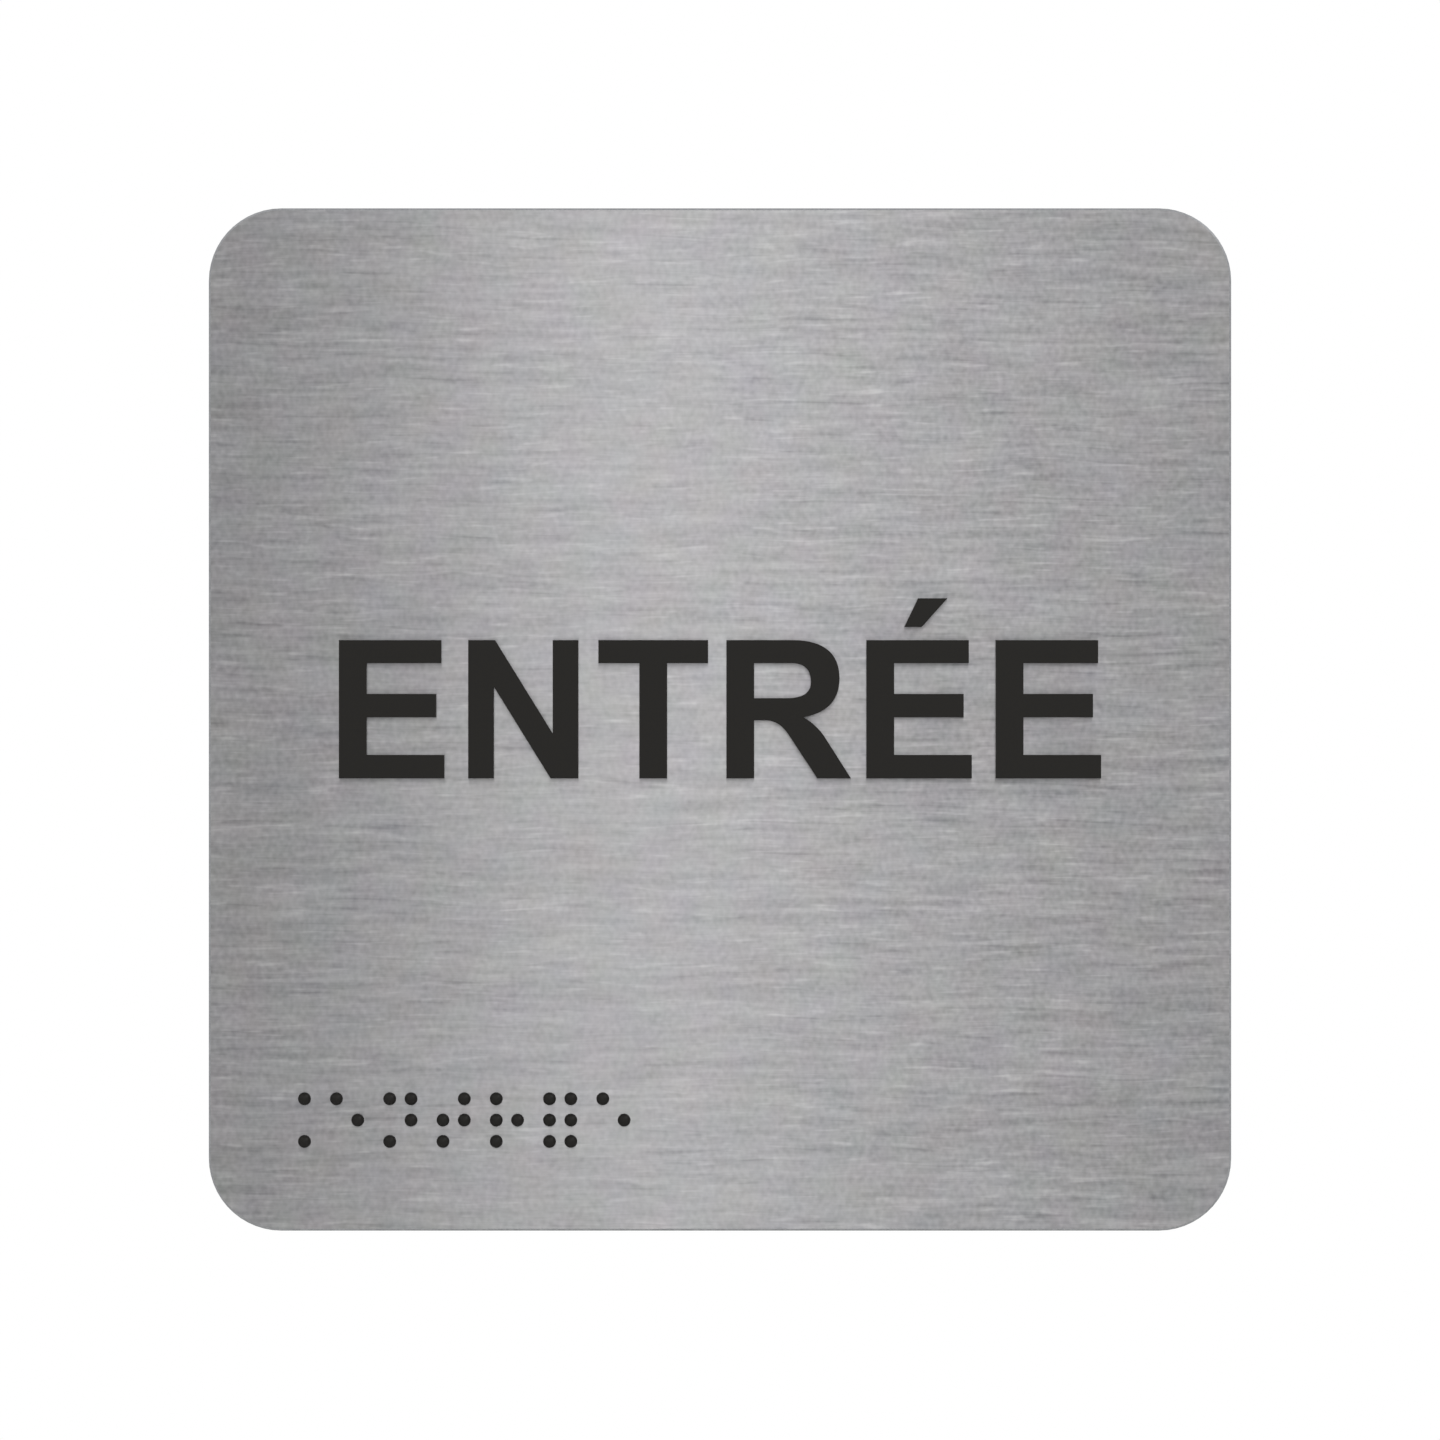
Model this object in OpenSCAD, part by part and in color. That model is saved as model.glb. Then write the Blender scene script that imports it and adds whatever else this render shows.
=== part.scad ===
// Braille entrance sign: a square plate of brushed aluminium, glued to a wall by foam tape.
// Each raised dot of its braille line is a small ball, seated in a hole drilled in the face.
// The sign stands upright: X runs to the right, Z runs up and the face looks towards -Y.
// The origin is the middle of the wall plane, where the tape's outer faces lie.

/* [Plate] */
// Width of the plate from side to side
plate_w = 120; // [100:1:240]
// Height of the plate
plate_h = 120; // [60:1:240]
// Thickness of the plate
plate_t = 2; // [1.5:0.1:5]
// Radius of the plate's corners
corner_r = 8.5; // [2:0.5:15]
// Width of the small chamfer round the face
face_break = 0.25; // [0.05:0.05:0.5]
// Width of the small chamfer round the back
back_break = 0.15; // [0.05:0.05:0.5]

/* [Braille line] */
// Distance between the dots of a cell, across and down
dot_pitch = 2.5; // [2.3:0.05:2.7]
// Distance from the left column of one cell to that of the next
cell_pitch = 6.25; // [6:0.05:8]
// Distance from the plate's left edge to the middle of the first cell
line_inset = 10; // [6:0.5:20]
// Distance from the plate's lower edge to the middle row of dots
line_height = 13; // [8:0.5:40]

/* [Beads and their seats] */
// Diameter of a bead
bead_d = 1.5; // [1.2:0.1:1.8]
// How far a bead stands out of the face
bead_proud = 0.7; // [0.5:0.05:0.9]
// Gap between a bead and the wall of its hole
bead_gap = 0.01; // [0.01:0.01:0.05]
// Angle of the drill's point, which the bead rests on
drill_angle = 118; // [110:1:140]

/* [Foam tape] */
// Width of a strip of tape
tape_w = 19; // [12:1:22]
// Thickness of the tape
tape_t = 1; // [0.5:0.1:2]
// Distance from the plate's side edges to the outer strips
tape_side_inset = 10; // [5:1:15]
// Distance from the plate's upper and lower edges to the ends of the strips
tape_end_inset = 10; // [5:1:20]

/* [Hidden] */
// Raised dots of each cell: 1 to 3 run down its left column and 4 to 6 down its right.
CELLS = [
    [4, 6],
    [1, 5],
    [1, 3, 4, 5],
    [2, 3, 4, 5],
    [1, 2, 3, 5],
    [1, 2, 3, 4, 5, 6],
    [1, 5]
];
COLUMN_DOTS = 3;

bead_r = bead_d / 2;
seat_r = bead_r + bead_gap;
drill_half = drill_angle / 2;
// Depths are measured down from the face. The bead touches the cone on a circle.
bead_depth = bead_r - bead_proud;
tip_depth = bead_depth + bead_r / sin(drill_half);
wall_depth = tip_depth - seat_r / tan(drill_half);
// How far the cutting shape runs on past the face
overrun = 1;
// Sides of a full turn, for the plate's corners and for the beads and their seats
corner_sides = 96;
bead_sides = 48;

face_z = tape_t + plate_t;
tape_len = plate_h - 2 * tape_end_inset;
tape_x = plate_w / 2 - tape_side_inset - tape_w / 2;

function bead_name(cell, dot) = str("bead_cell", cell + 1, "_dot", dot);

// Turns what lies flat, with X to the right, Y up and Z out of the wall, upright
module on_wall() {
    rotate([90, 0, 0]) children();
}

// Moves its children from the middle of the plate's face to one dot's place on it
module at_dot(cell, dot) {
    column = dot > COLUMN_DOTS ? 1 : 0;
    row = dot - 1 - column * COLUMN_DOTS;
    x = line_inset - plate_w / 2 + cell * cell_pitch + (column - 1 / 2) * dot_pitch;
    y = line_height - plate_h / 2 + (1 - row) * dot_pitch;
    translate([x, y, face_z]) children();
}

// Half of a section through the plate, out to an edge with its two chamfers
function half_section(reach) = [
    [0, 0],
    [reach - back_break, 0],
    [reach, back_break],
    [reach, plate_t - face_break],
    [reach - face_break, plate_t],
    [0, plate_t]
];

// A slab of the plate's section, as wide as the plate and as long as its straight sides
module slab(w, length) {
    rotate([90, 0, 0])
        linear_extrude(length, center = true) {
            polygon(half_section(w / 2));
            mirror([1, 0]) polygon(half_section(w / 2));
        }
}

// The cut sheet before drilling: two crossed slabs and a turned post in each corner
module blank() {
    slab(plate_w, plate_h - 2 * corner_r);
    rotate([0, 0, 90]) slab(plate_h, plate_w - 2 * corner_r);
    for (x = [-1, 1], y = [-1, 1])
        translate([x * (plate_w / 2 - corner_r), y * (plate_h / 2 - corner_r), 0])
            rotate_extrude($fn = corner_sides) polygon(half_section(corner_r));
}

// What the drill takes out: a straight wall that ends in the cone of its point
module seat() {
    rotate_extrude($fn = bead_sides)
        polygon([
            [0, -tip_depth],
            [seat_r, -wall_depth],
            [seat_r, overrun],
            [0, overrun]
        ]);
}

module plate() {
    color("darkgray")
        on_wall()
            difference() {
                translate([0, 0, tape_t]) blank();
                for (cell = [0:len(CELLS) - 1], dot = CELLS[cell])
                    at_dot(cell, dot) seat();
            }
}

module bead(cell, dot) {
    color("black")
        on_wall()
            at_dot(cell, dot)
                translate([0, 0, -bead_depth]) sphere(d = bead_d, $fn = bead_sides);
}

module tape_strip(x) {
    color("whitesmoke")
        on_wall()
            translate([x, 0, 0])
                linear_extrude(tape_t) square([tape_w, tape_len], center = true);
}

module tape_left() {
    tape_strip(-tape_x);
}

module tape_middle() {
    tape_strip(0);
}

module tape_right() {
    tape_strip(tape_x);
}

plate();
tape_left();
tape_middle();
tape_right();
for (cell = [0:len(CELLS) - 1], dot = CELLS[cell])
    bead(cell, dot);
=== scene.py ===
# %% [markdown]
# This lesson dresses a door sign: a square sheet of brushed aluminium with a raised word in black
# capitals and a line of braille. The sheet, its foam tape and the balls of the braille line come
# from a measured model. What is made here is the finish of every surface, the raised letters and
# the smooth balls that stand in for the plain ones.

# %% [markdown]
# The measured model is loaded first and never changed, so each new piece takes its place from it.
# Its box is kept now, and compared at the end with the box of the finished sign.

# %% Load the measured model
import math

import bmesh
import bpy
from mathutils import Matrix, Vector


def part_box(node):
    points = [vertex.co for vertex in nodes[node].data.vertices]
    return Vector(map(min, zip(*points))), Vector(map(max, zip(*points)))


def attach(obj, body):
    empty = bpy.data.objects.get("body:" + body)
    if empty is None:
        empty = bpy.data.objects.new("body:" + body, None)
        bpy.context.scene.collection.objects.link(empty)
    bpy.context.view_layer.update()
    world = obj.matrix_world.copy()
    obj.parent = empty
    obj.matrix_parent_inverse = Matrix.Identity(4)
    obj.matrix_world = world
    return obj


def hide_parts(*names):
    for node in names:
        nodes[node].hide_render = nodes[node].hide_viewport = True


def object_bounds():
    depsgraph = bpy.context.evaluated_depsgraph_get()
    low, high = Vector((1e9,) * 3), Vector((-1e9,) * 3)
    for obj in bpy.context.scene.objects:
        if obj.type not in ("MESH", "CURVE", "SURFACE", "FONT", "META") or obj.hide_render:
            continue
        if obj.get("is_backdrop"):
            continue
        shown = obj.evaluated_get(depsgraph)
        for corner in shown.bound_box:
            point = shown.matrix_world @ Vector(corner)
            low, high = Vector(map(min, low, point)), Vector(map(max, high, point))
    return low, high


MM = 0.001
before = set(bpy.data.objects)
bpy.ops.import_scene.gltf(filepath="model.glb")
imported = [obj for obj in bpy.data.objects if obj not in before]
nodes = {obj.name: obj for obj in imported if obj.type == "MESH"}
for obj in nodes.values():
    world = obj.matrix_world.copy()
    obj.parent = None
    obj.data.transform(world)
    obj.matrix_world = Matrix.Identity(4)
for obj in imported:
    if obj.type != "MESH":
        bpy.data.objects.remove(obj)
scene = bpy.context.scene
cad_box = [list(corner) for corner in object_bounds()]
face_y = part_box("plate")[0].y
print("pieces in the model:", len(nodes), "- the face lies at", round(face_y / MM, 2), "mm")

# %% [markdown]
# Three small helpers serve the materials and node trees. The first turns a colour as a painting
# program writes it into the linear light that a shader counts in. The second adds one node, with
# its settings and with what feeds each of its inputs. It keeps a tree as short to read as a recipe,
# while building the nodes by hand would take four lines for each. The third clears away the nodes
# that Blender starts with. A Mix node has several inputs of one name, so these go by number, and
# the numbers get names here.

# %% Helpers for colours and nodes
FACTOR = 0
NUMBER_A = 2
NUMBER_B = 3
COLOUR_A = 6
COLOUR_B = 7
# The output that gives the mixed colour
MIXED = 2


def linear(hex_colour):
    """Turns an sRGB hex colour into the linear RGBA of a shader's colour input."""
    shares = [int(hex_colour[i:i + 2], 16) / 255 for i in (1, 3, 5)]
    return [s / 12.92 if s <= 0.04045 else ((s + 0.055) / 1.055) ** 2.4 for s in shares] + [1]


def add_node(tree, kind, inputs=(), **settings):
    """Adds a node. A socket among the inputs is linked, and any other value is set."""
    node = tree.nodes.new(kind)
    for name, value in settings.items():
        setattr(node, name, value)
    for key, value in dict(inputs).items():
        if isinstance(value, bpy.types.NodeSocket):
            tree.links.new(value, node.inputs[key])
        else:
            node.inputs[key].default_value = value
    return node


def empty_tree(owner):
    """Gives a material or a world an empty node tree."""
    owner.use_nodes = True
    owner.node_tree.nodes.clear()
    return owner.node_tree


print("mid grey #808080 is", round(linear("#808080")[0], 3), "in linear light")

# %% [markdown]
# The sign is looked at straight on, as product pictures of signs are taken. A long lens stands far
# back, so that the sides of the letters hardly show. Its distance isn't guessed: the width that is
# seen at the plate's face is to the sensor's width as the distance is to the focal length.

# %% Set the camera
# Focal length and width of the sensor, in mm
LENS = 100
SENSOR = 36
# Width that is seen at the plate's face
SEEN_WIDTH = 168.94 * MM
# How far the camera is below the middle of the sign
EYE_DROP = 0.06 * MM

lens_data = bpy.data.cameras.new("camera")
lens_data.lens = LENS
lens_data.sensor_width = SENSOR
camera = bpy.data.objects.new("camera", lens_data)
eye_distance = SEEN_WIDTH * LENS / SENSOR
camera.location = (0, face_y - eye_distance, -EYE_DROP)
camera.rotation_euler = (math.radians(90), 0, 0)
scene.collection.objects.link(camera)
scene.camera = camera
scene.view_settings.view_transform = "Standard"
print("camera", round(eye_distance / MM, 1), "mm from the face")

# %% [markdown]
# A picture on white needs surroundings that the camera sees as white, and metal and gloss have to
# mirror the same white, or they would look as if they hung in a dark room. What lights the sign
# softly is kept weaker, so that white foam doesn't burn out. The Light Path node tells the kinds
# of ray apart, and is a plainer way than a photographed environment.

# %% Surround the sign with white
# Strength of the white as light on a matte surface. The camera and reflections get 1.
ROOM_GLOW = 0.55

world = bpy.data.worlds.new("white_room")
scene.world = world
tree = empty_tree(world)
ray = add_node(tree, "ShaderNodeLightPath")
seen = add_node(tree, "ShaderNodeMath", {
    0: ray.outputs["Is Camera Ray"], 1: ray.outputs["Is Glossy Ray"]})
seen = add_node(tree, "ShaderNodeMath", {
    0: seen.outputs[0], 1: ray.outputs["Is Transmission Ray"]}, use_clamp=True)
glow = add_node(tree, "ShaderNodeMapRange", {
    "Value": seen.outputs[0], "To Min": ROOM_GLOW, "To Max": 1.0})
white = add_node(tree, "ShaderNodeBackground", {
    "Color": linear("#FFFFFF"), "Strength": glow.outputs[0]})
add_node(tree, "ShaderNodeOutputWorld", {"Surface": white.outputs[0]})
print("room glow", ROOM_GLOW)

# %% [markdown]
# The floor is a pale disc well below the sign, where it stays out of the picture from the front.
# It takes the sign's soft shadow, and its own glow for the camera lifts the rest of it to white.
# The glow grows towards the rim, so that the disc has no edge that could be seen.

# %% Lay the floor
# Distance below the middle of the sign, and radius, in metres
FLOOR_DROP = 0.2
FLOOR_RADIUS = 0.45
FLOOR_SIDES = 96
# Strength of the disc's own glow, out to this distance from its middle, and at its rim
FLOOR_GLOW = 0.13
FADE_START = 0.25
RIM_GLOW = 0.3


def pale_floor():
    """Matte white paint. It scatters light evenly, and lifts to pure white at the rim."""
    material = bpy.data.materials.new("matte_white_floor")
    tree = empty_tree(material)
    place = add_node(tree, "ShaderNodeTexCoord").outputs["Object"]
    reach = add_node(tree, "ShaderNodeVectorMath", {0: place}, operation="LENGTH")
    lift = add_node(tree, "ShaderNodeMapRange", {
        "Value": reach.outputs["Value"], "From Min": FADE_START, "From Max": FLOOR_RADIUS,
        "To Min": FLOOR_GLOW, "To Max": RIM_GLOW}, interpolation_type="SMOOTHSTEP")
    ray = add_node(tree, "ShaderNodeLightPath")
    seen = add_node(tree, "ShaderNodeMath", {
        0: ray.outputs["Is Camera Ray"], 1: ray.outputs["Is Glossy Ray"]})
    glow = add_node(tree, "ShaderNodeMath", {
        0: lift.outputs[0], 1: seen.outputs[0]}, operation="MULTIPLY")
    paint = add_node(tree, "ShaderNodeBsdfPrincipled", {
        "Base Color": linear("#EDEDEB"), "Roughness": 0.9, "Specular IOR Level": 0.2,
        "Emission Color": linear("#FFFFFF"), "Emission Strength": glow.outputs[0]})
    add_node(tree, "ShaderNodeOutputMaterial", {"Surface": paint.outputs[0]})
    return material


disc = bmesh.new()
bmesh.ops.create_circle(disc, cap_ends=True, segments=FLOOR_SIDES, radius=FLOOR_RADIUS)
floor_mesh = bpy.data.meshes.new("floor")
disc.to_mesh(floor_mesh)
disc.free()
floor_mesh.materials.append(pale_floor())
floor = bpy.data.objects.new("floor", floor_mesh)
floor.location.z = -FLOOR_DROP
scene.collection.objects.link(floor)
floor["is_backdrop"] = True
print("floor", FLOOR_DROP / MM, "mm below the middle of the sign")

# %% [markdown]
# Brushed metal smears a lamp's reflection across its grain. The grain runs sideways, so narrow
# upright lamps in front become one soft upright band of light, a little left of the middle. Three
# of them make the band: a slim one for its bright left part, and two wider and higher ones that
# let it fade slowly to the right and downwards. The others stand outside what the face mirrors,
# and light the edges, the foam and the floor.

# %% Light it softly


def soft_lamp(name, size, place, watts):
    """Adds a rectangular lamp of this width and height, turned towards the sign."""
    lamp = bpy.data.lights.new(name, "AREA")
    lamp.shape = "RECTANGLE"
    lamp.size, lamp.size_y = size
    lamp.energy = watts
    holder = bpy.data.objects.new(name, lamp)
    holder.location = place
    holder.rotation_euler = (-Vector(place)).to_track_quat("-Z", "Y").to_euler()
    scene.collection.objects.link(holder)
    print(name, "gives", watts, "W")


# Name, width and height in metres, place in metres, and watts of each lamp
LAMPS = (
    ("slim_band_lamp", (0.1, 1.0), (-0.03, -0.9, 0.1), 0.45),
    ("middle_band_lamp", (0.25, 1.0), (0, -0.9, 0.45), 0.7),
    ("right_band_lamp", (0.25, 1.0), (0.12, -0.9, 0.45), 0.49),
    ("high_right_lamp", (0.35, 0.35), (0.92, -0.53, 1.0), 6),
    ("high_left_lamp", (0.8, 0.8), (-1.1, -0.7, 1.0), 3),
    ("back_lamp", (0.8, 0.8), (-0.3, 1.2, 0.9), 8),
)
for name, size, place, watts in LAMPS:
    soft_lamp(name, size, place, watts)

# %% [markdown]
# Every surface of the plate is metal with fine marks that run one way: brushed, routed or rolled.
# They could be pictures, but noise that is drawn out along the marks has no seam and any size.
# Several noises laid over each other give the long marks, the short ones and the grit between
# them. One function adds them up, and each finish hands it a list of its own marks.

# %% Lay marks over each other
# Share of finer detail in each noise
FINE_SHARE = 0.3
# Noise has this value on average
NOISE_MEAN = 0.5
# Tone of a surface without marks
PLAIN_TONE = 0.5


def marks_tone(tree, place, kinds):
    """Adds up kinds of mark. The result is about the plain tone, and less in a groove."""
    # Marks that lie everywhere raise the sum by their mean, so it is taken off beforehand
    everywhere = sum(strength for size, turn, strength, start in kinds if not start)
    tone = PLAIN_TONE - everywhere * NOISE_MEAN
    for size, turn, strength, start in kinds:
        drawn_out = add_node(tree, "ShaderNodeMapping", {
            "Vector": place, "Rotation": [math.radians(angle) for angle in turn],
            "Scale": [length * MM for length in size]}, vector_type="TEXTURE")
        marks = add_node(tree, "ShaderNodeTexNoise", {
            "Vector": drawn_out.outputs[0], "Scale": 1.0, "Detail": 1.0, "Roughness": FINE_SHARE})
        if start:
            marks = add_node(tree, "ShaderNodeMapRange", {"Value": marks.outputs[0], "From Min": start})
        tone = add_node(tree, "ShaderNodeMath", {
            0: marks.outputs[0], 1: strength, 2: tone}, operation="MULTIPLY_ADD").outputs[0]
    return tone


print("fine detail in each kind of mark:", FINE_SHARE)

# %% [markdown]
# The face is ground along its width by a grit belt, which leaves short scratches of many lengths.
# The first five kinds of mark lie everywhere. The last two are the few dark scratches and bright
# ridges that stand out, because only the peaks of their noise count. All are turned a little about
# the grain, so that the face cuts the noise's cells askew and no grid shows.

# %% Values of the brushed face
# Size in mm along X, Y and Z, turn in degrees, strength, and the noise value where a mark starts
GRAIN = (
    ((11.0, 0.76, 0.76), (27, 0.4, 0), 0.38, 0.0),
    ((4.0, 0.64, 0.64), (27, -0.9, 0), 0.17, 0.0),
    ((0.6, 0.68, 0.68), (27, 0, 0), 0.38, 0.0),
    ((2.5, 0.16, 0.16), (27, 0.2, 0), 0.14, 0.0),
    ((45.0, 2.0, 2.0), (27, 0, 0), 0.11, 0.0),
    ((7.0, 0.5, 0.5), (27, 1.2, 0), -0.32, 0.6),
    ((4.0, 0.5, 0.5), (27, -0.5, 0), 0.42, 0.6),
)
# The grain sways by this height in mm, over this length
SWAY_HEIGHT = 0.35
SWAY_LENGTH = 14.0
# Size in mm of patches of a slightly warmer or cooler tone, and their share of the colour
TINT_PATCH = 5.0
TINT_SHARE = 0.02
# Depth of the relief in mm
GROOVE_DEPTH = 0.004
# The grain is painted calmest at this X in mm, where the lamps' band of light lies on the face, and
# reaches its full strength this far from there
CALM_PLACE = -12.0
CALM_REACH = 50.0
# Strength of the marks at both places. At 1 they are as strong as listed above.
CALM_STRENGTH = 0.75
FULL_STRENGTH = 1.22
print("kinds of mark on the face:", len(GRAIN))

# %% [markdown]
# A ground surface is smooth along its scratches and rough across them, which the anisotropic input
# gives: its tangent points up the face, so reflections are smeared up and down. The slow noise
# bends the grain a little, as a hand-guided belt does, and a second one tints it very faintly.
# The marks are painted calmest a little left of the middle, where the reflected band of light lies, and
# stronger towards both sides. This is painted light that stands in for the way the band washes out the
# grain. A mix of a plain tone and the marks does that: its factor is below 1 where they are calm, and
# may go past 1, because the mix isn't clamped.

# %% Make the brushed face


def brushed_aluminium_face():
    """Sheet aluminium brushed along X: a soft sheen that stretches across the grain."""
    material = bpy.data.materials.new("brushed_aluminium_face")
    tree = empty_tree(material)
    place = add_node(tree, "ShaderNodeTexCoord").outputs["Object"]
    slow = add_node(tree, "ShaderNodeTexNoise", {
        "Vector": place, "Scale": 1 / (SWAY_LENGTH * MM), "Detail": 0.0})
    rise = add_node(tree, "ShaderNodeMapRange", {
        "Value": slow.outputs[0], "To Min": -SWAY_HEIGHT * MM, "To Max": SWAY_HEIGHT * MM})
    rise = add_node(tree, "ShaderNodeCombineXYZ", {"Z": rise.outputs[0]})
    swayed = add_node(tree, "ShaderNodeVectorMath", {0: place, 1: rise.outputs[0]})
    tone = marks_tone(tree, swayed.outputs[0], GRAIN)
    # Painted light: the marks are weakened under the band of light, standing in for the way its
    # reflection washes out the grain
    across = add_node(tree, "ShaderNodeSeparateXYZ", {0: place})
    away = add_node(tree, "ShaderNodeMath", {
        0: across.outputs["X"], 1: CALM_PLACE * MM}, operation="SUBTRACT")
    away = add_node(tree, "ShaderNodeMath", {0: away.outputs[0]}, operation="ABSOLUTE")
    painted_band_calm = add_node(tree, "ShaderNodeMapRange", {
        "Value": away.outputs[0], "From Max": CALM_REACH * MM,
        "To Min": CALM_STRENGTH, "To Max": FULL_STRENGTH})
    tone = add_node(tree, "ShaderNodeMix", {
        FACTOR: painted_band_calm.outputs[0], NUMBER_A: PLAIN_TONE, NUMBER_B: tone},
        clamp_factor=False).outputs[0]
    metal = add_node(tree, "ShaderNodeMix", {
        FACTOR: tone, COLOUR_A: linear("#676769"), COLOUR_B: linear("#ACABAC")},
        data_type="RGBA")
    patches = add_node(tree, "ShaderNodeTexNoise", {
        "Vector": place, "Scale": 1 / (TINT_PATCH * MM), "Detail": 1.0})
    tinted = add_node(tree, "ShaderNodeMix", {
        FACTOR: TINT_SHARE, COLOUR_A: metal.outputs[MIXED],
        COLOUR_B: patches.outputs["Color"]}, data_type="RGBA")
    relief = add_node(tree, "ShaderNodeBump", {
        "Height": tone, "Strength": 0.5, "Distance": GROOVE_DEPTH * MM})
    upright = add_node(tree, "ShaderNodeCombineXYZ", {"Z": 1.0})
    surface = add_node(tree, "ShaderNodeBsdfPrincipled", {
        "Base Color": tinted.outputs[MIXED], "Metallic": 1.0, "Roughness": 0.38,
        "Anisotropic": 1.0, "Tangent": upright.outputs[0], "Normal": relief.outputs[0]})
    add_node(tree, "ShaderNodeOutputMaterial", {"Surface": surface.outputs[0]})
    return material


face_finish = brushed_aluminium_face()
print(face_finish.name, "has", len(face_finish.node_tree.nodes), "nodes")

# %% [markdown]
# The sides and the small chamfers were cut by a router, which leaves rather dull metal with marks
# straight through the sheet's thickness, along Y. The back was never brushed: it keeps the mill
# finish of rolled sheet, paler and smoother, with long faint lines from the rollers and a very
# fine mottle. Both are the same recipe with other marks, so one function makes them.

# %% Make the cut edge and the back
# Size, turn, strength and start of each kind of mark, as for the face
ROUTER_MARKS = (
    ((0.25, 3.0, 0.25), (0, 0, 0), 0.6, 0.0),
    ((1.3, 9.0, 1.3), (0, 0, 0), 0.4, 0.0),
)
ROLLER_MARKS = (
    ((90.0, 0.45, 0.45), (27, 0, 0), 0.36, 0.0),
    ((25.0, 1.1, 1.1), (27, 0.3, 0), 0.2, 0.0),
    ((0.7, 0.5, 0.5), (27, 0, 0), 0.3, 0.0),
    ((30.0, 0.35, 0.35), (27, -0.4, 0), 0.5, 0.64),
)
# Roughness is this much more in a groove, and this much less on a ridge
DULLING = 0.08


def marked_aluminium(name, kinds, dark, light, roughness, depth):
    """Bare aluminium with its own marks, of this depth in mm, a little duller in the grooves."""
    material = bpy.data.materials.new(name)
    tree = empty_tree(material)
    place = add_node(tree, "ShaderNodeTexCoord").outputs["Object"]
    tone = marks_tone(tree, place, kinds)
    metal = add_node(tree, "ShaderNodeMix", {
        FACTOR: tone, COLOUR_A: linear(dark), COLOUR_B: linear(light)}, data_type="RGBA")
    dulled = add_node(tree, "ShaderNodeMapRange", {
        "Value": tone, "To Min": roughness + DULLING, "To Max": roughness - DULLING})
    relief = add_node(tree, "ShaderNodeBump", {
        "Height": tone, "Strength": 0.6, "Distance": depth * MM})
    surface = add_node(tree, "ShaderNodeBsdfPrincipled", {
        "Base Color": metal.outputs[MIXED], "Metallic": 1.0, "Roughness": dulled.outputs[0],
        "Normal": relief.outputs[0]})
    add_node(tree, "ShaderNodeOutputMaterial", {"Surface": surface.outputs[0]})
    return material


edge_finish = marked_aluminium(
    "routed_aluminium_edge", ROUTER_MARKS, "#737477", "#A8A9AB", roughness=0.48, depth=0.006)
back_finish = marked_aluminium(
    "mill_finish_aluminium_back", ROLLER_MARKS, "#9B9C9E", "#B7B8BA", roughness=0.36, depth=0.0015)
print(edge_finish.name, "and", back_finish.name)

# %% [markdown]
# One sheet now has three finishes. Which of them a face takes follows from where it looks: to the
# reader, to the wall, or sideways. Only the material of each face is set, and the measured shape
# stays as it is.

# %% Dress the plate
# A face looks to the reader or to the wall if more than this share of its normal runs along Y
FLAT = 0.99
# Places of the three finishes in the plate's list
BRUSHED = 0
CUT = 1
ROLLED = 2

plate = nodes["plate"].data
plate.materials.clear()
for finish in (face_finish, edge_finish, back_finish):
    plate.materials.append(finish)
for polygon in plate.polygons:
    if polygon.normal.y < -FLAT:
        polygon.material_index = BRUSHED
    elif polygon.normal.y > FLAT:
        polygon.material_index = ROLLED
    else:
        polygon.material_index = CUT
dressed = [polygon.material_index for polygon in plate.polygons]
print("faces brushed, cut and rolled:", [dressed.count(i) for i in (BRUSHED, CUT, ROLLED)])

# %% [markdown]
# Double-sided tape for signs is a ribbon of white acrylic foam. Its cut sides show the closed
# cells of the foam, each a few tenths of a millimetre wide. A picture of foam would have to be
# fitted to each strip, while Voronoi noise makes round cells of the right size on all of them.

# %% Make the cut foam
# Width of a cell in mm
FOAM_CELL = 0.35


def foam_side():
    """Acrylic foam, cut: matte and white, with small round cells."""
    material = bpy.data.materials.new("cut_acrylic_foam")
    tree = empty_tree(material)
    place = add_node(tree, "ShaderNodeTexCoord").outputs["Object"]
    cells = add_node(tree, "ShaderNodeTexVoronoi", {"Vector": place, "Scale": 1 / (FOAM_CELL * MM)})
    # The colour is darker towards each cell's middle, where the bump sinks a pit: painted shade in the
    # pores
    shade = add_node(tree, "ShaderNodeMix", {
        FACTOR: cells.outputs["Distance"], COLOUR_A: linear("#D6D5D1"),
        COLOUR_B: linear("#EEEDEA")}, data_type="RGBA")
    pores = add_node(tree, "ShaderNodeBump", {
        "Height": cells.outputs["Distance"], "Strength": 0.7, "Distance": 0.05 * MM})
    surface = add_node(tree, "ShaderNodeBsdfPrincipled", {
        "Base Color": shade.outputs[MIXED], "Roughness": 0.85, "Specular IOR Level": 0.3,
        "Normal": pores.outputs[0]})
    add_node(tree, "ShaderNodeOutputMaterial", {"Surface": surface.outputs[0]})
    return material


foam_finish = foam_side()
print(foam_finish.name, "has cells of", FOAM_CELL, "mm")

# %% [markdown]
# The outer face of the tape is a smooth film of adhesive that shines a little. One slow noise
# makes its faint ripple. It drives the colour, the gloss and the relief together, because on real
# tape the three come from the same waves.

# %% Make the adhesive film
# Length of a ripple in mm
FILM_RIPPLE = 4.0


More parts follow.
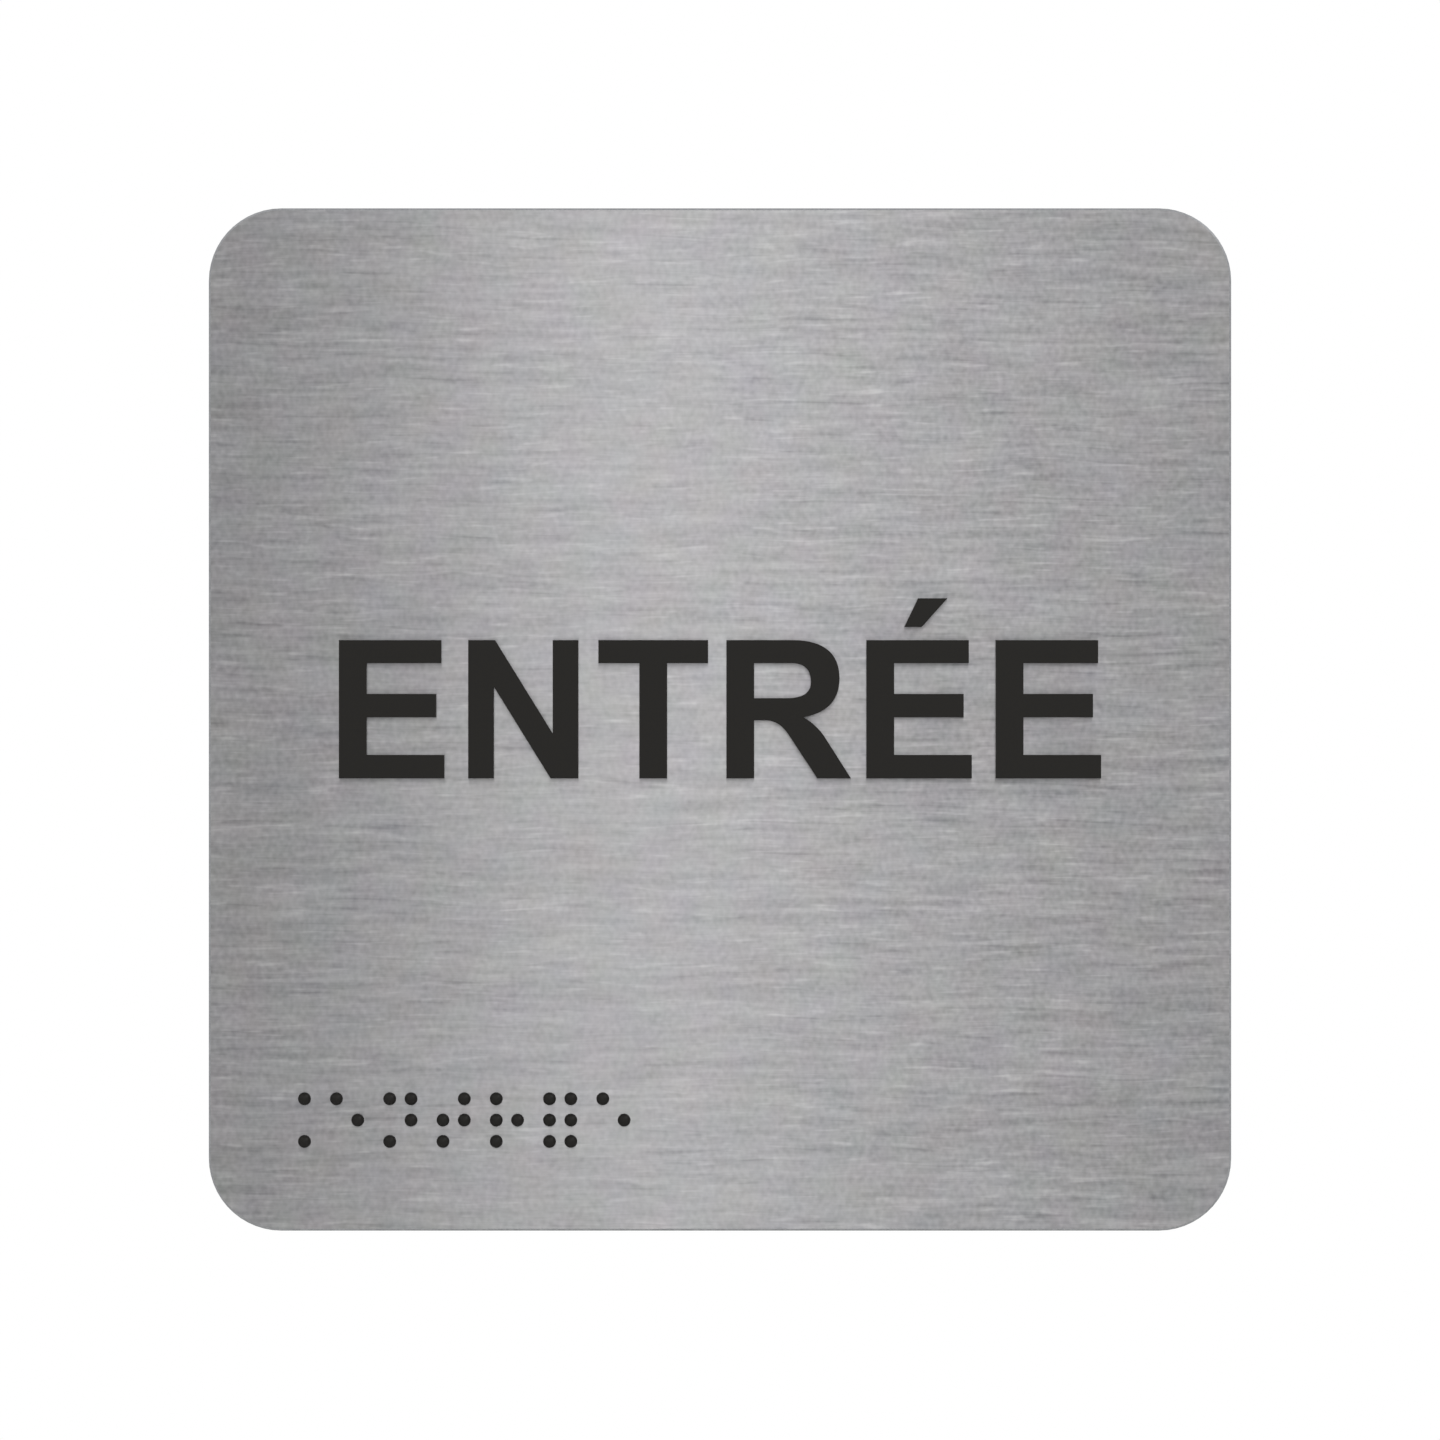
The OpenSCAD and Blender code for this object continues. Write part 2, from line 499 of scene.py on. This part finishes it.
def adhesive_film():
    """Acrylic adhesive: a clear tacky film over white foam, nearly smooth."""
    material = bpy.data.materials.new("acrylic_adhesive_film")
    tree = empty_tree(material)
    place = add_node(tree, "ShaderNodeTexCoord").outputs["Object"]
    ripple = add_node(tree, "ShaderNodeTexNoise", {
        "Vector": place, "Scale": 1 / (FILM_RIPPLE * MM), "Detail": 3.0})
    shade = add_node(tree, "ShaderNodeMix", {
        FACTOR: ripple.outputs[0], COLOUR_A: linear("#E0DFDA"), COLOUR_B: linear("#EEEDE9")},
        data_type="RGBA")
    gloss = add_node(tree, "ShaderNodeMapRange", {
        "Value": ripple.outputs[0], "To Min": 0.22, "To Max": 0.42})
    waves = add_node(tree, "ShaderNodeBump", {
        "Height": ripple.outputs[0], "Strength": 0.5, "Distance": 0.08 * MM})
    surface = add_node(tree, "ShaderNodeBsdfPrincipled", {
        "Base Color": shade.outputs[MIXED], "Roughness": gloss.outputs[0], "Normal": waves.outputs[0]})
    add_node(tree, "ShaderNodeOutputMaterial", {"Surface": surface.outputs[0]})
    return material


film_finish = adhesive_film()
print(film_finish.name, "has ripples of", FILM_RIPPLE, "mm")

# %% [markdown]
# The three strips are alike, so one loop dresses them. The side that looks to the wall gets the
# film, and every other side the foam.

# %% Dress the tape
# Places of the two finishes in a strip's list
FOAM = 0
FILM = 1

for name in ("tape_left", "tape_middle", "tape_right"):
    tape = nodes[name].data
    tape.materials.clear()
    tape.materials.append(foam_finish)
    tape.materials.append(film_finish)
    for polygon in tape.polygons:
        polygon.material_index = FILM if polygon.normal.y > FLAT else FOAM
    print(name, "has", len(tape.polygons), "faces")

# %% [markdown]
# The letters and the balls are black acrylic. Cast acrylic of this kind is satin: its black stays
# deep from the front and lightens only at a glancing look. A very fine frost, drawn a little
# coarser than it is so that it shows at all, keeps it from looking like flat paint.

# %% Make the black acrylic
# Both finishes of the acrylic mix these two blacks
DEEP_BLACK = "#161513"
PALE_BLACK = "#1D1B18"
# Size of the frost's grain in mm
FROST = 0.3


def black_acrylic():
    """Cast acrylic, dyed black and lightly frosted: deep black with a weak satin sheen."""
    material = bpy.data.materials.new("satin_black_acrylic")
    tree = empty_tree(material)
    place = add_node(tree, "ShaderNodeTexCoord").outputs["Object"]
    frost = add_node(tree, "ShaderNodeTexNoise", {
        "Vector": place, "Scale": 1 / (FROST * MM), "Detail": 2.0})
    shade = add_node(tree, "ShaderNodeMix", {
        FACTOR: frost.outputs[0], COLOUR_A: linear(DEEP_BLACK), COLOUR_B: linear(PALE_BLACK)},
        data_type="RGBA")
    gloss = add_node(tree, "ShaderNodeMapRange", {
        "Value": frost.outputs[0], "To Min": 0.42, "To Max": 0.56})
    grain = add_node(tree, "ShaderNodeBump", {
        "Height": frost.outputs[0], "Strength": 0.3, "Distance": 0.01 * MM})
    surface = add_node(tree, "ShaderNodeBsdfPrincipled", {
        "Base Color": shade.outputs[MIXED], "Roughness": gloss.outputs[0], "Specular IOR Level": 0.15,
        "Normal": grain.outputs[0]})
    add_node(tree, "ShaderNodeOutputMaterial", {"Surface": surface.outputs[0]})
    return material


acrylic = black_acrylic()
print(acrylic.name)

# %% [markdown]
# A laser melts its way through the sheet, so it leaves the letters' sides glossy where their
# fronts are satin, with faint ripples through the thickness. From the side the gloss catches the
# white room and shows where the front ends. A second material on the same mesh is the plain way
# to have both.

# %% Make the laser-cut sides
# Size of a ripple in mm along X, Y and Z
RIPPLE = (0.25, 4.0, 0.25)


def laser_cut_side():
    """The same acrylic where the laser melted it: glossy black, finely rippled along Y."""
    material = bpy.data.materials.new("laser_cut_acrylic_side")
    tree = empty_tree(material)
    place = add_node(tree, "ShaderNodeTexCoord").outputs["Object"]
    drawn_out = add_node(tree, "ShaderNodeMapping", {
        "Vector": place, "Scale": [length * MM for length in RIPPLE]}, vector_type="TEXTURE")
    ripples = add_node(tree, "ShaderNodeTexNoise", {
        "Vector": drawn_out.outputs[0], "Scale": 1.0, "Detail": 1.0})
    shade = add_node(tree, "ShaderNodeMix", {
        FACTOR: ripples.outputs[0], COLOUR_A: linear(DEEP_BLACK), COLOUR_B: linear(PALE_BLACK)},
        data_type="RGBA")
    gloss = add_node(tree, "ShaderNodeMapRange", {
        "Value": ripples.outputs[0], "To Min": 0.12, "To Max": 0.26})
    waves = add_node(tree, "ShaderNodeBump", {
        "Height": ripples.outputs[0], "Strength": 0.4, "Distance": 0.008 * MM})
    surface = add_node(tree, "ShaderNodeBsdfPrincipled", {
        "Base Color": shade.outputs[MIXED], "Roughness": gloss.outputs[0], "IOR": 1.49,
        "Normal": waves.outputs[0]})
    add_node(tree, "ShaderNodeOutputMaterial", {"Surface": surface.outputs[0]})
    return material


cut_acrylic = laser_cut_side()
print(cut_acrylic.name, "with ripples", RIPPLE[0], "mm apart")

# %% [markdown]
# The word is set in plain upright capitals, cut by a laser from thin acrylic sheet and stuck on.
# A font would be quick, but the outlines here are drawn from a few sizes, as a sign maker draws
# them: the height of a capital, the width of a stem, and the thickness of each arm. Straight
# letters are corners only. All sizes are in mm, from the letter's left edge and its baseline.

# %% Draw the straight capitals
# Height of a capital, width of a stem, and thickness of an arm and of a top arm, in mm
CAP = 16.2
STEM = 3.25
ARM = 2.75
TOP_ARM = 2.7


def letter_e():
    """Three arms on a stem. The middle one is the shortest and the lowest the longest."""
    # How far each arm reaches
    low_end = 12.35
    middle_end = 11.4
    top_end = 12
    # Undersides of the middle arm and the top arm
    middle = 7.15
    top = CAP - TOP_ARM
    return [[(0, 0), (low_end, 0), (low_end, ARM), (STEM, ARM), (STEM, middle),
             (middle_end, middle), (middle_end, middle + ARM), (STEM, middle + ARM),
             (STEM, top), (top_end, top), (top_end, CAP), (0, CAP)]]


def letter_n():
    """Two thinner stems, joined by a stroke that leaves the corners flat."""
    stem = 3.0
    width = 12.9
    # Where the stroke's flat corners end, and the heights at which it meets the stems
    top_corner = 3.15
    low_corner = width - STEM
    meets_left = 10.75
    meets_right = 5.25
    return [[(0, 0), (0, CAP), (top_corner, CAP), (width - stem, meets_right),
             (width - stem, CAP), (width, CAP), (width, 0), (low_corner, 0),
             (stem, meets_left), (stem, 0)]]


def letter_t():
    """A stem in the middle of one arm."""
    width = 12.85
    left = (width - STEM) / 2
    top = CAP - TOP_ARM
    return [[(left, 0), (left, top), (0, top), (0, CAP), (width, CAP), (width, top),
             (left + STEM, top), (left + STEM, 0)]]


def acute_accent():
    """A slanted stroke above the capital, wider at its top."""
    low = 17.75
    high = 21.1
    # Its four corners, from the lower left one on
    return [[(4.45, low), (6.05, high), (9.5, high), (6.5, low)]]


print("corners of E, N, T and the accent:",
      [len(draw()[0]) for draw in (letter_e, letter_n, letter_t, acute_accent)])

# %% [markdown]
# The R has curves. A Bezier curve needs only its two ends and a handle at each, as in a drawing
# program: the handle shows which way the outline runs there, and a longer one holds it to that way
# for longer. A knot is written as its place, then the handle it arrives by and the one it leaves
# by, both measured from the knot. Where there is none, the outline is straight.

# %% Draw the R


def letter_r():
    """A stem, a bowl with a hole in it, and a leg that leaves the bowl in a soft bend."""
    outline = [
        (0, 0),
        (0, CAP),
        (7.8, CAP, None, (3.6, 0)),
        (13.25, 11.75, (0, 2.9), (0, -2.95)),
        (9.0, 7.15, (2.4, 0.45), (1.25, -0.6)),
        (11.45, 4.95, (-0.3, 0.45), None),
        (14.6, 0),
        (10.65, 0),
        (7.3, 5.1, None, (-0.7, 1.05)),
        (4.55, 6.8, (1.2, 0), None),
        (STEM, 6.8),
        (STEM, 0),
    ]
    hole = [
        (STEM, 13.5),
        (7.6, 13.5, None, (1.85, 0)),
        (9.9, 11.35, (0, 1.05), (0, -1.35)),
        (7.0, 9.4, (1.95, 0), None),
        (STEM, 9.4),
    ]
    return [outline, hole]


print("knots of the R and its hole:", [len(loop) for loop in letter_r()])

# %% [markdown]
# A flat curve object does the cutting: Blender fills it, gives it a thickness and rounds its
# edges in one go, with clean mitred corners. An extruded mesh with a bevel would need more steps.
# The rounding grows outwards, so the outline is first drawn in by the same amount.

# %% Make a sheet of an outline
# Thickness of the sheet and radius of its rounded edges, in mm
SHEET = 0.8
EDGE_ROUND = 0.06


def flat_curve(name, loops):
    """Makes a filled flat curve from closed loops of knots."""
    curve = bpy.data.curves.new(name, "CURVE")
    curve.dimensions = "2D"
    curve.fill_mode = "BOTH"
    curve.resolution_u = 16
    curve.extrude = (SHEET / 2 - EDGE_ROUND) * MM
    curve.bevel_depth = EDGE_ROUND * MM
    curve.bevel_resolution = 2
    curve.offset = -EDGE_ROUND * MM
    for loop in loops:
        # A new spline has one point already
        spline = curve.splines.new("BEZIER")
        spline.bezier_points.add(len(loop) - 1)
        spline.use_cyclic_u = True
        for point, (x, z, *handles) in zip(spline.bezier_points, loop):
            point.co = (x * MM, z * MM, 0)
            point.handle_left_type = "VECTOR"
            point.handle_right_type = "VECTOR"
            for side, handle in zip(("left", "right"), handles):
                if handle:
                    setattr(point, f"handle_{side}_type", "FREE")
                    setattr(point, f"handle_{side}", ((x + handle[0]) * MM, (z + handle[1]) * MM, 0))
    return curve


print("letters are", SHEET, "mm thick, with edges rounded by", EDGE_ROUND, "mm")

# %% [markdown]
# The curve is then copied into a mesh, stood upright and moved against the plate's face. Its front,
# its back and its sides come out of the curve unjoined, so points that meet are welded, and one
# closed solid is left. Front and back are shaded flat and the rest smooth, but sharp corners stay
# sharp. The front has the satin finish, and all the rest has the one that the laser left.

# %% Cut a letter from sheet
# Points that are nearer to each other than this, in mm, are welded
WELD = 0.001
# A face is shaded flat if at least this share of its normal runs along Y
LEVEL = 0.999
# A face has the satin finish if more than this share of its normal points at the reader
FRONT = 0.7
# An edge stays sharp where one of its faces is turned from the other by more than this
CREASE = math.radians(40)
# Places of the two finishes in a letter's list
SATIN = 0
MELTED = 1


def cut_letter(name, loops, left, base):
    """Turns the curve into one closed mesh that stands on the plate's face."""
    blank = bpy.data.objects.new(name, flat_curve(name, loops))
    scene.collection.objects.link(blank)
    depsgraph = bpy.context.evaluated_depsgraph_get()
    mesh = bpy.data.meshes.new_from_object(blank.evaluated_get(depsgraph))
    bpy.data.objects.remove(blank)
    upright = Matrix.Rotation(math.radians(90), 4, "X")
    to_face = Matrix.Translation((left * MM, face_y - SHEET / 2 * MM, base * MM))
    mesh.transform(to_face @ upright)
    solid = bmesh.new()
    solid.from_mesh(mesh)
    bmesh.ops.remove_doubles(solid, verts=solid.verts, dist=WELD * MM)
    bmesh.ops.recalc_face_normals(solid, faces=solid.faces)
    solid.to_mesh(mesh)
    solid.free()
    mesh.set_sharp_from_angle(angle=CREASE)
    mesh.materials.clear()
    mesh.materials.append(acrylic)
    mesh.materials.append(cut_acrylic)
    for polygon in mesh.polygons:
        polygon.use_smooth = abs(polygon.normal.y) < LEVEL
        polygon.material_index = SATIN if polygon.normal.y < -FRONT else MELTED
    mesh.name = name
    return bpy.data.objects.new(name, mesh)


print("corners of more than", round(math.degrees(CREASE)), "degrees stay sharp")

# %% [markdown]
# The word is centred on the plate from side to side. Each letter is a piece of its own, as it is on the
# real sign, and the accent is a seventh piece. Every piece rides on the plate's body.

# %% Set the word
# Height of the baseline in mm, from the middle of the sign
BASELINE = -6.9
# Name, outline and left edge in mm of each piece
WORD = (
    ("letter_e_1", letter_e, -44.65),
    ("letter_n", letter_n, -29.5),
    ("letter_t", letter_t, -14.25),
    ("letter_r", letter_r, 0.75),
    ("letter_e_acute", letter_e, 17.15),
    ("acute_accent", acute_accent, 17.15),
    ("letter_e_2", letter_e, 32.3),
)

for name, draw, left in WORD:
    letter = cut_letter(name, draw(), left, BASELINE)
    scene.collection.objects.link(letter)
    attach(letter, "root")
    print(name, "has", len(letter.data.polygons), "faces")

# %% [markdown]
# A braille dot is a small acrylic ball, pressed into a drilled seat. There are 24 of them, all
# alike, which is work for Geometry Nodes: one ball is made once, set on every point of a cloud,
# and turned into plain mesh. The points are the middles of the measured model's own balls, so
# each new ball sits in its seat on the drill's cone.

# %% Build the tree for the balls


def beads_tree():
    """Sets a smooth ball on each point of what comes in."""
    tree = bpy.data.node_groups.new("beads_on_points", "GeometryNodeTree")
    tree.is_modifier = True
    for name, kind, way in (
        ("Points", "NodeSocketGeometry", "INPUT"),
        ("Diameter", "NodeSocketFloat", "INPUT"),
        ("Sides", "NodeSocketInt", "INPUT"),
        ("Finish", "NodeSocketMaterial", "INPUT"),
        ("Beads", "NodeSocketGeometry", "OUTPUT"),
    ):
        tree.interface.new_socket(name, in_out=way, socket_type=kind)
    given = add_node(tree, "NodeGroupInput").outputs
    radius = add_node(tree, "ShaderNodeMath", {0: given["Diameter"], 1: 2.0}, operation="DIVIDE")
    rings = add_node(tree, "ShaderNodeMath", {0: given["Sides"], 1: 2.0}, operation="DIVIDE")
    ball = add_node(tree, "GeometryNodeMeshUVSphere", {
        "Segments": given["Sides"], "Rings": rings.outputs[0], "Radius": radius.outputs[0]})
    # The ball's pole turns towards the reader, so one full ring of sides is its outline from there.
    turned = add_node(tree, "GeometryNodeTransform", {
        "Geometry": ball.outputs["Mesh"], "Rotation": (math.radians(90), 0, 0)})
    smooth = add_node(tree, "GeometryNodeSetShadeSmooth", {"Geometry": turned.outputs[0]})
    copies = add_node(tree, "GeometryNodeInstanceOnPoints", {
        "Points": given["Points"], "Instance": smooth.outputs[0]})
    real = add_node(tree, "GeometryNodeRealizeInstances", {"Geometry": copies.outputs[0]})
    dressed = add_node(tree, "GeometryNodeSetMaterial", {
        "Geometry": real.outputs[0], "Material": given["Finish"]})
    add_node(tree, "NodeGroupOutput", {"Beads": dressed.outputs[0]})
    return tree


bead_tree = beads_tree()
print(bead_tree.name, "has", len(bead_tree.nodes), "nodes")

# %% [markdown]
# A modifier runs the tree on the cloud and hands it the other inputs. It knows them by identifiers that
# Blender gives out, so these are looked up by name. The measured diameter goes in as it is. The result
# is copied into a plain mesh. Then the new balls take the place of the plain ones.

# %% Seat the balls
# Sides of a ball, all the way round
BEAD_SIDES = 48

bead_names = sorted(name for name in nodes if name.startswith("bead_"))
boxes = [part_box(name) for name in bead_names]
middles = [(low + high) / 2 for low, high in boxes]
diameter = boxes[0][1].y - boxes[0][0].y

cloud = bpy.data.meshes.new("bead_points")
cloud.from_pydata(middles, [], [])
holder = bpy.data.objects.new("bead_points", cloud)
scene.collection.objects.link(holder)
modifier = holder.modifiers.new("beads", "NODES")
modifier.node_group = bead_tree
sockets = {item.name: item.identifier for item in bead_tree.interface.items_tree}
modifier[sockets["Diameter"]] = diameter
modifier[sockets["Sides"]] = BEAD_SIDES
modifier[sockets["Finish"]] = acrylic

depsgraph = bpy.context.evaluated_depsgraph_get()
bead_mesh = bpy.data.meshes.new_from_object(holder.evaluated_get(depsgraph))
bpy.data.objects.remove(holder)
bead_mesh.name = "braille_beads"
beads = bpy.data.objects.new("braille_beads", bead_mesh)
scene.collection.objects.link(beads)
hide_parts(*bead_names)
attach(beads, "root")
print(len(bead_names), "balls of", round(diameter / MM, 2), "mm,", len(bead_mesh.polygons), "faces")

# %% [markdown]
# The finished sign has to be as large as the measured one. The two boxes are compared, and how much the
# box grew is printed. The letters stand a tenth of a millimetre further out than the balls do, and that
# is the only difference.

# %% Compare the sizes and finish
finished_box = [list(corner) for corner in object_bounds()]
before = cad_box[0] + cad_box[1]
after = finished_box[0] + finished_box[1]
growth = [round((new - old) / MM, 3) for old, new in zip(before, after)]
print("the box grew by, in mm:", growth)
